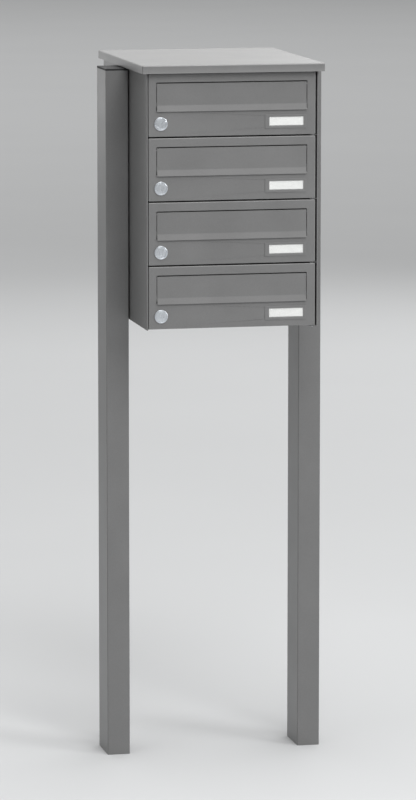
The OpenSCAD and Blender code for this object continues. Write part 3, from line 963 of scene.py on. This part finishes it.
def lock_plug(i):
    """The plug of compartment i's lock: head, keyway, shutter, shank and riveted square tail."""
    low, high = box_mm(f"lock_plug_{i}")
    face_y = box_mm(f"door_{i}")[0].y
    centre = outline(f"lock_body_{i}", "xz")[0]
    place = facing_front(face_y)
    front, end = low.y - face_y, high.y - face_y
    groove = PLUG_HEAD - GROOVE_IN
    under_head = -HEAD_SEAT - 0.07
    shape = new_shape()

    def rings(*profile):
        return [disc(shape, place, centre, radius, depth, 10) for radius, depth in profile]

    skin = rings((groove - 0.5, front), (groove - 0.25, front + 0.12), (groove, front),
                 (PLUG_HEAD - 0.3, front), (PLUG_HEAD, front + 0.3), (PLUG_HEAD, under_head),
                 (PLUG, under_head), (PLUG, end - SQUARE_HEIGHT))
    barrel(shape, skin)
    flat_face(shape, skin[-1])
    keyway = [hoop(shape, place, centre, KEYWAY, 0.5, depth, inset) for depth, inset in
              ((front, -0.15), (front + 0.15, 0), (front + SHUTTER, 0))]
    barrel(shape, keyway)
    flat_face(shape, skin[0], keyway[0])
    flat_face(shape, keyway[-1])
    slab(shape, *(hoop(shape, place, centre, SQUARE, 0.6, depth)
                  for depth in (end - SQUARE_HEIGHT - 0.1, end - RIVET_HEIGHT)))
    rivet = rings((RIVET, end - RIVET_HEIGHT), (RIVET, end - RIVET_HEIGHT / 2),
                  (RIVET - 0.9, end - 0.1), (RIVET - 2.4, end))
    flat_face(shape, rivet[0])
    barrel(shape, rivet)
    flat_face(shape, rivet[-1])
    piece = finish_shape(shape, f"lock_core_{i}", nickel, 0.1)
    return tie(piece, f"lock_{i}", "nickel", f"lock_plug_{i}")


for i in BAYS:
    report(lock_body(i), lock_plug(i), softened(f"lock_latch_{i}", zinc, 0.3, "zinc_plate"),
           softened(f"lock_nut_{i}", zinc, 0.5, "zinc_plate"))

# %% [markdown]
# ## Geometry Nodes: posts from a section
#
# A post is a length of rectangular tube, so its shape follows a rule: two rectangles with round
# corners, one inside the other, drawn upward. A node tree says exactly that. The sizes are the
# tree's inputs, so the same tree makes both posts, and a different tube is only different numbers.

# %% How a tree starts, ends and is run
def new_tree(name, inputs):
    """A Geometry Nodes tree with named inputs and one geometry output."""
    tree = bpy.data.node_groups.new(name, "GeometryNodeTree")
    for label, kind in inputs:
        tree.interface.new_socket(label, in_out="INPUT", socket_type=kind)
    tree.interface.new_socket("Geometry", in_out="OUTPUT", socket_type="NodeSocketGeometry")
    return tree, tree.nodes.new("NodeGroupInput").outputs


def close_tree(tree, geometry, finish):
    """Ends a tree in Realize Instances and Set Material."""
    real = add(tree, "GeometryNodeRealizeInstances", inputs={"Geometry": geometry})
    painted = add(tree, "GeometryNodeSetMaterial", inputs={"Geometry": real, "Material": finish})
    add(tree, "NodeGroupOutput", inputs={"Geometry": painted})


def grown(tree, name, values):
    """The plain mesh object that a tree makes with these values for its inputs."""
    piece = bpy.data.objects.new(name, bpy.data.meshes.new(name))
    bpy.context.collection.objects.link(piece)
    modifier = piece.modifiers.new(name, "NODES")
    modifier.node_group = tree
    identifiers = {s.name: s.identifier for s in tree.interface.items_tree if s.in_out == "INPUT"}
    for label, value in values.items():
        modifier[identifiers[label]] = value
    return plain(piece)


print("trees end in Realize Instances and Set Material")


# %% A node tree for rectangular tube
INNER_CORNER = 0.4       # how much the inner corner tightens for each millimetre of wall


def tube_tree(finish):
    """Rectangular tube, standing up from its base."""
    tree, given = new_tree("rectangular_tube", [
        ("Width", "NodeSocketFloat"), ("Depth", "NodeSocketFloat"), ("Corner", "NodeSocketFloat"),
        ("Wall", "NodeSocketFloat"), ("Height", "NodeSocketFloat"), ("Base", "NodeSocketVector")])

    rings = add(tree, "GeometryNodeJoinGeometry")
    for wall in (0.0, given["Wall"]):
        less = [add(tree, "ShaderNodeMath", TIMES_PLUS, {0: wall, 1: -walls, 2: given[side]})
                for side, walls in (("Width", 2.0), ("Depth", 2.0), ("Corner", INNER_CORNER))]
        square = add(tree, "GeometryNodeCurvePrimitiveQuadrilateral", inputs={
            "Width": less[0], "Height": less[1]})
        rounded = add(tree, "GeometryNodeFilletCurve", {"mode": "POLY"}, {
            "Curve": square, "Count": CORNER_STEPS, "Radius": less[2]})
        tree.links.new(rounded.outputs["Curve"], rings.inputs["Geometry"])
    section = add(tree, "GeometryNodeFillCurve", {"mode": "TRIANGLES"}, {"Curve": rings})
    rise = add(tree, "ShaderNodeCombineXYZ", inputs={"Z": given["Height"]})
    drawn = add(tree, "GeometryNodeExtrudeMesh", {"mode": "FACES"}, {
        "Mesh": section, "Offset": rise, "Offset Scale": 1.0, "Individual": False})
    foot = add(tree, "GeometryNodeFlipFaces", inputs={"Mesh": section})
    whole = add(tree, "GeometryNodeJoinGeometry")
    for part in (drawn, foot):
        tree.links.new(part.outputs["Mesh"], whole.inputs["Geometry"])
    merged = add(tree, "GeometryNodeMergeByDistance", inputs={
        "Geometry": whole, "Distance": CAD_MERGE})
    moved = add(tree, "GeometryNodeTransform", inputs={
        "Geometry": merged, "Translation": given["Base"]})
    close_tree(tree, moved, finish)
    return tree


print("the tube's outlines have", 4 * (CORNER_STEPS + 1), "points")

# %% [markdown]
# The tree's result is finished like every other piece, so the two cut ends get broken edges too.
# The plastic caps are drawn with hoops: a flat head with a rounded rim, and a skirt with two thin
# fins that grip the inside of the tube.

# %% Posts and caps
POST_CORNER = 1.8
POST_WALL = 2.5
CAP_ROUND = 0.9
SKIRT_WALL = 2.0
SKIRT_GAP = 0.2          # between the skirt and the tube, which the fins fill
FINS = (5.0, 11.0)       # where they start below the rim
FIN_REACH = 0.15
tube = tube_tree(coat)


def reshape(piece, name, finish, edge_mm):
    """Runs the finish of every piece over a plain mesh that a tree has made."""
    shape = bmesh.new()
    shape.from_mesh(piece.data)
    bpy.data.objects.remove(piece)
    return finish_shape(shape, name, finish, edge_mm)


def post(side):
    """One post."""
    low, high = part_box(f"{side}_post")
    base = ((low.x + high.x) / 2, (low.y + high.y) / 2, low.z)
    drawn = grown(tube, f"{side}_tube", {
        "Width": high.x - low.x, "Depth": high.y - low.y, "Corner": POST_CORNER * MM,
        "Wall": POST_WALL * MM, "Height": high.z - low.z, "Base": base})
    piece = reshape(drawn, f"{side}_ground_post", coat, 0.3)
    return tie(piece, "housing", "powder_coat", f"{side}_post")


def post_cap(side):
    """The push-in plastic cap of one post."""
    low, high = box_mm(f"{side}_post_cap")
    rim = box_mm(f"{side}_post")[1].z
    place = facing_up(high.z)
    centre, size = outline(f"{side}_post_cap", "xy")
    gap = POST_WALL + SKIRT_GAP
    head, end = high.z - rim, high.z - low.z
    shape = new_shape()

    def at(depth, inset):
        return hoop(shape, place, centre, size, POST_CORNER, depth, inset)

    skin = [at(0, CAP_ROUND), at(CAP_ROUND * 0.3, CAP_ROUND * 0.3), at(CAP_ROUND, 0)]
    skin += [at(head - TOUCH, 0), at(head - TOUCH, gap)]
    for depth in FINS:
        fin = head + depth
        skin += [at(fin, gap), at(fin + 0.2, gap - FIN_REACH), at(fin + 1.4, gap)]
    skin += [at(end - 1, gap), at(end, gap + 0.6), at(end, gap + SKIRT_WALL)]
    skin.append(at(head + 0.5, gap + SKIRT_WALL))
    barrel(shape, skin)
    flat_face(shape, skin[0])
    flat_face(shape, skin[-1])
    piece = finish_shape(shape, f"{side}_cap", plastic, 0.15)
    return tie(piece, "housing", "black_plastic", f"{side}_post_cap")


for side in ("left", "right"):
    report(post(side), post_cap(side))

# %% [markdown]
# ## The housing's sheets
#
# The side panels, back, shelves, floor and top are flat sheets with a few cuts and turned edges, so
# their CAD shapes are right as they are. What they lack is a broken edge that can catch light. A
# copy of each is merged, and its edges are rounded by the finish above. The same goes for the rod
# that carries the doors and the rails under the lid.

# %% Panels, shelves, rod and rails
for node in ("left_side_panel", "right_side_panel"):
    report(softened(node, coat, 0.45, "powder_coat"))
for node in ("back_panel", "floor_panel", "top_panel", "shelf_1", "shelf_2", "shelf_3"):
    report(softened(node, coat, 0.3, "powder_coat"))
report(softened("hinge_rod", steel, 0.4, "bright_steel"))
report(softened("lid_rails", zinc, 0.3, "zinc_plate"))

# %% [markdown]
# ## Geometry Nodes: rows of fasteners
#
# Rivets, bolts, screws, rings and nuts each repeat in a regular block: so many across, so many deep
# and so many up. One tree places them all. It counts along a line of points, turns each count into
# a place in the block, and puts a copy of one fastener there. On the far side of the block the copy
# can be turned half round, because bolts on the left and right face each other.

# %% A node tree for rows of fasteners
SHARED_BY = {"operation": "DIVIDE"}
REMAINDER = {"operation": "MODULO"}
WHOLE = {"operation": "FLOOR"}


def rows_tree(finish):
    """Copies of one object in a block of places."""
    tree, given = new_tree("rows_of_" + finish.name, [
        ("Fastener", "NodeSocketObject"), ("Across", "NodeSocketInt"), ("Deep", "NodeSocketInt"),
        ("Up", "NodeSocketInt"), ("First", "NodeSocketVector"), ("Step", "NodeSocketVector"),
        ("Turn Across", "NodeSocketFloat")])

    layer = add(tree, "ShaderNodeMath", TIMES, {0: given["Across"], 1: given["Deep"]})
    total = add(tree, "ShaderNodeMath", TIMES, {0: layer, 1: given["Up"]})
    line = add(tree, "GeometryNodeMeshLine", inputs={"Count": total})
    index = add(tree, "GeometryNodeInputIndex")
    across = add(tree, "ShaderNodeMath", REMAINDER, {0: index, 1: given["Across"]})
    rows = add(tree, "ShaderNodeMath", SHARED_BY, {0: index, 1: given["Across"]})
    row = add(tree, "ShaderNodeMath", WHOLE, {0: rows})
    deep = add(tree, "ShaderNodeMath", REMAINDER, {0: row, 1: given["Deep"]})
    layers = add(tree, "ShaderNodeMath", SHARED_BY, {0: index, 1: layer})
    up = add(tree, "ShaderNodeMath", WHOLE, {0: layers})
    count = add(tree, "ShaderNodeCombineXYZ", inputs={"X": across, "Y": deep, "Z": up})
    where = add(tree, "ShaderNodeVectorMath", TIMES_PLUS, {
        0: count, 1: given["Step"], 2: given["First"]})
    points = add(tree, "GeometryNodeSetPosition", inputs={"Geometry": line, "Position": where})
    angle = add(tree, "ShaderNodeMath", TIMES, {0: across, 1: given["Turn Across"]})
    turn = add(tree, "ShaderNodeCombineXYZ", inputs={"Z": angle})
    part = add(tree, "GeometryNodeObjectInfo", inputs={"Object": given["Fastener"]})
    copies = add(tree, "GeometryNodeInstanceOnPoints", inputs={
        "Points": points, "Instance": part.outputs["Geometry"], "Rotation": turn})
    close_tree(tree, copies, finish)
    return tree


def fastener_rows(node, fastener, tree, counts, first, span, turn, slot):
    """A block of copies of one fastener, which stands for a CAD node."""
    step = Vector([side / max(count - 1, 1) for side, count in zip(span, counts)])
    piece = grown(tree, node + "_rows", {
        "Fastener": fastener, "Across": counts[0], "Deep": counts[1], "Up": counts[2],
        "First": Vector(first) * MM, "Step": step * MM, "Turn Across": turn})
    bpy.data.objects.remove(fastener)
    return tie(piece, "housing", slot, node)


steel_rows = rows_tree(steel)
zinc_rows = rows_tree(zinc)
print("trees made:", steel_rows.name, "and", zinc_rows.name)

# %% [markdown]
# Each fastener is a small lathe profile or a few round hoops, drawn at its true size in
# millimetres. A blind rivet has a low dome with the pulled mandrel sunk in it. A low-head bolt has
# a socket for a hexagon key. The lid's screws are seen only from below, inside the top compartment.

# %% The fasteners
RIVET_HEAD = 3.4         # radii of the heads
BOLT_HEAD = 7.0
SCREW_HEAD = 4.5
HEX_SHARE = 0.41         # the hexagon socket's, as a share of its head's
HEAD_CURVE = ((0.70, 1.0), (0.87, 0.91), (0.97, 0.75), (1.0, 0.55))     # shares of radius, height


def rivet():
    """A blind rivet along +Y, with its dome outside."""
    shape = new_shape()
    profile = [(1.6, -4.2), (1.6, 0), (RIVET_HEAD, 0), (3.3, 0.35), (2.8, 0.8), (2.0, 1.05)]
    profile += [(1.2, 1.1), (1.05, 0.5), (0.3, 0.45), (0.3, -4.2)]
    turned(shape, facing_front(0), (0, 0), profile, 5)
    return finish_shape(shape, "rivet", steel, 0.08)


def socket_head(shape, place, radius, height, shank, length):
    """A low head with a hexagon socket on a plain shank; the head's underside is at depth 0."""
    profile = [(radius * share, -height * rise) for share, rise in HEAD_CURVE]
    profile += [(radius, 0), (shank, 0), (shank, length - 0.6), (shank - 0.6, length)]
    skin = [disc(shape, place, (0, 0), r, depth, 6) for r, depth in profile]
    barrel(shape, skin)
    flat_face(shape, skin[-1])
    key = HEX_SHARE * radius
    corners = [(key * math.cos(k * math.pi / 3), key * math.sin(k * math.pi / 3)) for k in range(6)]
    rims = [[shape.verts.new(Vector(place(u, v, depth)) * MM) for u, v in corners]
            for depth in (-height, -height / 2)]
    band(shape, *rims)
    flat_face(shape, skin[0], rims[0])
    flat_face(shape, rims[1])


def post_bolt():
    """A bolt along +X, with its head on the inner side."""
    shape = new_shape()
    socket_head(shape, facing_side(0), BOLT_HEAD, 4, 4, 19)
    return finish_shape(shape, "post_bolt", steel, 0.12)


def lid_screw():
    """A screw along +Z, with its head below."""
    shape = new_shape()
    socket_head(shape, facing_up(0), SCREW_HEAD, 2.5, 2.4, 7)
    for vert in shape.verts:
        vert.co.z = -vert.co.z
    return finish_shape(shape, "lid_screw", steel, 0.1)


def spacer_ring():
    """A flat ring along +X."""
    shape = new_shape()
    turned(shape, facing_side(0), (0, 0), [(12, 0), (12, 2), (7, 2), (7, 0)], 8)
    return finish_shape(shape, "spacer_ring", zinc, 0.25)


def rivet_nut():
    """A threaded insert along +X, with its flange outside the wall."""
    shape = new_shape()
    profile = [(6.5, -1), (6.5, 0), (5.45, 0), (5.45, 7), (5.9, 8.2), (5.45, 9.4), (5.45, 15.6)]
    profile += [(5.1, 16), (4.05, 16), (4.05, -1)]
    turned(shape, facing_side(0), (0, 0), profile, 8)
    return finish_shape(shape, "rivet_nut", zinc, 0.15)


print("a bolt's head is", 2 * BOLT_HEAD, "mm wide")

# %% [markdown]
# The first place and the steps of each block come from the boxes of the CAD nodes that the blocks
# stand for: a node's box is one fastener wider than the distance between its outer fasteners. The
# blocks that go through the left and right walls are as far apart as those walls.

# %% Place the fasteners
PANEL = 2.0              # the side panels' thickness


def block(node, radius):
    """The first centre of a CAD node's fasteners, and the distance to the last one."""
    low, high = box_mm(node)
    margin = Vector((radius, radius, radius))
    return low + margin, high - low - 2 * margin


first, span = block("back_rivets", RIVET_HEAD)
first.y = box_mm("back_panel")[1].y
report(fastener_rows("back_rivets", rivet(), steel_rows, (2, 1, 4), first, span, 0,
                     "bright_steel"))

first, span = block("post_bolts", BOLT_HEAD)
outer_wall = box_mm("left_side_panel")[0].x
for node, fastener, tree, wall, slot in (
        ("post_bolts", post_bolt(), steel_rows, outer_wall + PANEL, "bright_steel"),
        ("spacer_rings", spacer_ring(), zinc_rows, outer_wall, "zinc_plate"),
        ("rivet_nuts", rivet_nut(), zinc_rows, box_mm("left_post")[1].x, "zinc_plate")):
    report(fastener_rows(node, fastener, tree, (2, 2, 2), (wall, first.y, first.z),
                         (-2 * wall, span.y, span.z), math.pi, slot))

first, span = block("lid_screws", SCREW_HEAD)
first.z = box_mm("top_panel")[1].z - SHEET
report(fastener_rows("lid_screws", lid_screw(), steel_rows, (2, 2, 1), first, span, 0,
                     "bright_steel"))

# %% [markdown]
# ## Geometry Nodes: the flap springs
#
# A torsion spring is a wire that follows a helix, with a straight leg at each end. The tree bends a
# straight line of points: each point's share of the way along gives its angle, and the angle gives
# its place round the axis. The two legs are lines of their own that start where the helix ends.

# %% A node tree for torsion springs
WIRE_POINTS = 130
WIRE_SIDES = 8


def spring_tree(finish):
    """A helix along X round the origin, with a leg down at its start and a leg back at its end."""
    tree, given = new_tree("torsion_spring", [
        ("Turns", "NodeSocketFloat"), ("Radius", "NodeSocketFloat"), ("Length", "NodeSocketFloat"),
        ("Wire", "NodeSocketFloat"), ("Down Leg", "NodeSocketFloat"),
        ("Back Leg", "NodeSocketVector"), ("Centre", "NodeSocketVector")])

    straight = add(tree, "GeometryNodeCurvePrimitiveLine", inputs={"End": (1.0, 0.0, 0.0)})
    dotted = add(tree, "GeometryNodeResampleCurve", inputs={
        "Curve": straight, "Count": WIRE_POINTS})
    share = add(tree, "GeometryNodeSplineParameter").outputs["Factor"]
    turned_by = add(tree, "ShaderNodeMath", TIMES, {0: share, 1: given["Turns"]})
    angle = add(tree, "ShaderNodeMath", TIMES, {0: turned_by, 1: 2 * math.pi})
    minus = add(tree, "ShaderNodeMath", TIMES, {0: given["Radius"], 1: -1.0})
    cosine = add(tree, "ShaderNodeMath", {"operation": "COSINE"}, {0: angle})
    sine = add(tree, "ShaderNodeMath", {"operation": "SINE"}, {0: angle})
    along = add(tree, "ShaderNodeMath", TIMES, {0: share, 1: given["Length"]})
    back = add(tree, "ShaderNodeMath", TIMES, {0: cosine, 1: minus})
    rise = add(tree, "ShaderNodeMath", TIMES, {0: sine, 1: given["Radius"]})
    helix = add(tree, "ShaderNodeCombineXYZ", inputs={"X": along, "Y": back, "Z": rise})
    wound = add(tree, "GeometryNodeSetPosition", inputs={
        "Geometry": dotted, "Position": helix})
    drop = add(tree, "ShaderNodeMath", TIMES, {0: given["Down Leg"], 1: -1.0})
    start = add(tree, "ShaderNodeCombineXYZ", inputs={"Y": minus})
    foot = add(tree, "ShaderNodeCombineXYZ", inputs={"Y": minus, "Z": drop})
    end = add(tree, "ShaderNodeCombineXYZ", inputs={"X": given["Length"], "Y": given["Radius"]})
    tip = add(tree, "ShaderNodeVectorMath", PLUS, {0: end, 1: given["Back Leg"]})
    lines = add(tree, "GeometryNodeJoinGeometry")
    down = add(tree, "GeometryNodeCurvePrimitiveLine", inputs={"Start": foot, "End": start})
    outward = add(tree, "GeometryNodeCurvePrimitiveLine", inputs={"Start": end, "End": tip})
    for stretch in (wound, down, outward):
        tree.links.new(stretch.outputs[0], lines.inputs["Geometry"])
    ring = add(tree, "GeometryNodeCurvePrimitiveCircle", inputs={
        "Resolution": WIRE_SIDES, "Radius": given["Wire"]})
    wire = add(tree, "GeometryNodeCurveToMesh", inputs={
        "Curve": lines, "Profile Curve": ring, "Fill Caps": True})
    smooth = add(tree, "GeometryNodeSetShadeSmooth", inputs={"Geometry": wire})
    placed = add(tree, "GeometryNodeTransform", inputs={
        "Geometry": smooth, "Translation": given["Centre"]})
    close_tree(tree, placed, finish)
    return tree


print("a spring's wire has", WIRE_SIDES, "sides")

# %% [markdown]
# Each spring sits on the pin of its flap. Its leg in front presses on the flap's back, and its leg
# behind rests against the pan, so the spring rides the door.

# %% Flap springs
SPRING_TURNS = 6.5
SPRING_RADIUS = 1.9      # from the axis to the middle of the wire
WIRE = 0.3               # the wire's radius
LEG_DROP = 6.5
springs = spring_tree(steel)


def flap_spring(i):
    """The spring on the pin of flap i."""
    low, high = box_mm(f"flap_spring_{i}")
    pin_low, pin_high = box_mm(f"flap_pin_{i}")
    pin = (pin_low + pin_high) / 2
    back = high.y - WIRE - (pin.y + SPRING_RADIUS)
    piece = grown(springs, f"torsion_spring_{i}", {
        "Turns": SPRING_TURNS, "Radius": SPRING_RADIUS * MM, "Wire": WIRE * MM,
        "Length": (high.x - low.x - 2 * WIRE) * MM, "Down Leg": (pin.z - low.z) * MM,
        "Back Leg": Vector((0, back, -LEG_DROP)) * MM,
        "Centre": Vector((low.x + WIRE, pin.y, pin.z)) * MM})
    return tie(piece, f"door_{i}", "bright_steel", f"flap_spring_{i}")


report(*(flap_spring(i) for i in BAYS))

# %% [markdown]
# ## Floor and light
#
# The floor is a plain pale surface that reaches the horizon. The satin coat shows it as a soft
# sheen wherever it is seen at a flat angle, as on the lid and the left faces, so the floor lights
# the object as much as a lamp does. One large soft lamp hangs above and two stand in front, out of
# the directions in which the doors and flaps would mirror them. Three more at the back draw the
# sheen on the lid, the posts and the left faces, and the last one lights the floor far behind. A
# larger lamp of the same power is softer, because each part of it is dimmer.

# %% Floor
FLOOR_SIZE = 120.0


def pale_floor():
    """Matt painted studio floor: no gloss to speak of, with the faintest unevenness of tone."""
    made, tree, place = start_material("matt_studio_floor")
    patches = add(tree, "ShaderNodeTexNoise", inputs=sized(place, 900.0))
    tone = add(tree, "ShaderNodeMix", COLOUR, between(patches, "#c9cacb", "#cdcecf"))
    shader = add(tree, "ShaderNodeBsdfPrincipled", inputs={
        "Base Color": tone.outputs[BLENDED], "Roughness": 0.9, "IOR": 1.3})
    add(tree, "ShaderNodeOutputMaterial", inputs={"Surface": shader})
    return made


bpy.ops.mesh.primitive_plane_add(size=FLOOR_SIZE, location=(0, 0, cad_box[0].z))
floor = bpy.context.object
floor.name = "studio_floor"
floor.data.materials.append(pale_floor())
print("floor", FLOOR_SIZE, "m wide")


# %% Lamps and surroundings
def soft_lamp(name, place, aim, width, height, watts):
    """A large rectangular lamp that points at a place and isn't seen itself."""
    data = bpy.data.lights.new(name, "AREA")
    data.shape = "RECTANGLE"
    data.size = width
    data.size_y = height
    data.energy = watts
    lamp = bpy.data.objects.new(name, data)
    lamp.location = place
    lamp.rotation_euler = (Vector(aim) - Vector(place)).to_track_quat("-Z", "Y").to_euler()
    lamp.visible_camera = False
    bpy.context.collection.objects.link(lamp)


middle = (cad_box[0] + cad_box[1]) / 2
soft_lamp("overhead", (-0.1, -0.4, 4.2), middle, 3.0, 3.0, 80)
soft_lamp("front_high", (0.2, -4.1, 5.0), middle, 2.4, 2.2, 150)
soft_lamp("front_right", (4.6, -4.0, 2.9), middle, 2.4, 2.2, 140)
soft_lamp("back_left", (-1.6, 5.7, 1.6), middle, 1.1, 2.2, 11)
soft_lamp("back_right", (3.6, 4.4, 3.0), middle, 5.0, 3.4, 80)
soft_lamp("back_high", (1.4, 6.5, 2.5), (0, 0, 1.2), 3.0, 1.0, 12)
soft_lamp("far_floor", (0, 15, 8), (0, 15, 0), 18, 16, 650)
world = bpy.data.worlds.new("studio")
world.use_nodes = True
bpy.context.scene.world = world
sky = world.node_tree.nodes["Background"].inputs
sky["Color"].default_value = linear("#e1e1e0")
sky["Strength"].default_value = 0.48
